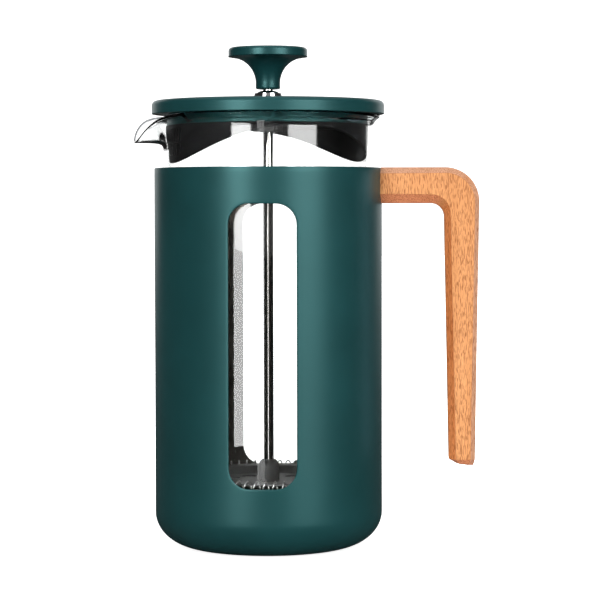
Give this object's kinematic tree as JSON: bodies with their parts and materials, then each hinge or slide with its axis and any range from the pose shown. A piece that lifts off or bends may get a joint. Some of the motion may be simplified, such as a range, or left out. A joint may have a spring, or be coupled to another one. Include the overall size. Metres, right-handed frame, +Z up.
{
  "type": "french press",
  "caption": "Tall round coffee press: a glass beaker in a windowed steel holder with an L-shaped wooden handle, a turning lid with a strainer skirt, and a plunger with a mesh filter.",
  "frame": {"origin": "centre of the underside of the base pad, on the beaker's axis, at the height of the table", "axes": "+Z up along the beaker's axis, +X towards the handle, -Y towards the front window"},
  "size_m": [0.1613, 0.1096, 0.236],
  "materials": {
    "green_coat": "satin powder coat, dark green",
    "green_knob": "satin moulded, dark green",
    "beech": "oiled beech with short dark flecks",
    "clear_glass": "clear borosilicate",
    "black_plastic": "satin black moulding",
    "silicone": "matte black",
    "stainless": "polished stainless",
    "spring_wire": "bright drawn wire",
    "filter_mesh": "fine woven stainless mesh",
    "polished_chrome": "mirror chrome",
    "brass": "machined"
  },
  "bodies": {
    "holder": {"holder_sleeve": "green_coat", "base_pad": "silicone", "beaker_seat": "silicone", "handle": "beech", "handle_screws": "stainless", "screw_washers": "stainless", "threaded_inserts": "brass"},
    "beaker": {"glass_beaker": "clear_glass"},
    "guide": {"rod_guide": "polished_chrome", "guide_nut": "stainless"},
    "lid": {"lid_cap": "green_coat", "lid_neck": "green_coat", "lid_insert": "black_plastic"},
    "plunger": {"plunger_rod": "stainless", "knob": "green_knob", "knob_insert": "brass", "hub_dome": "stainless", "spiral_plate": "stainless", "spiral_spring": "spring_wire", "filter_mesh": "filter_mesh", "cross_plate": "stainless", "hub_nut": "stainless"}
  },
  "joints": [
    {"name": "beaker_lift", "type": "slide", "parent": "holder", "child": "beaker", "axis": [0, 0, 1], "range_m": [0, 0.19]},
    {"name": "lid_lift", "type": "slide", "parent": "beaker", "child": "guide", "axis": [0, 0, 1], "range_m": [0, 0.19]},
    {"name": "lid_turn", "type": "hinge", "parent": "guide", "child": "lid", "pos_m": [0, 0, 0.208], "axis": [0, 0, 1], "continuous": true},
    {"name": "plunger_slide", "type": "slide", "parent": "guide", "child": "plunger", "axis": [0, 0, 1], "range_m": [0, 0.143]}
  ]
}
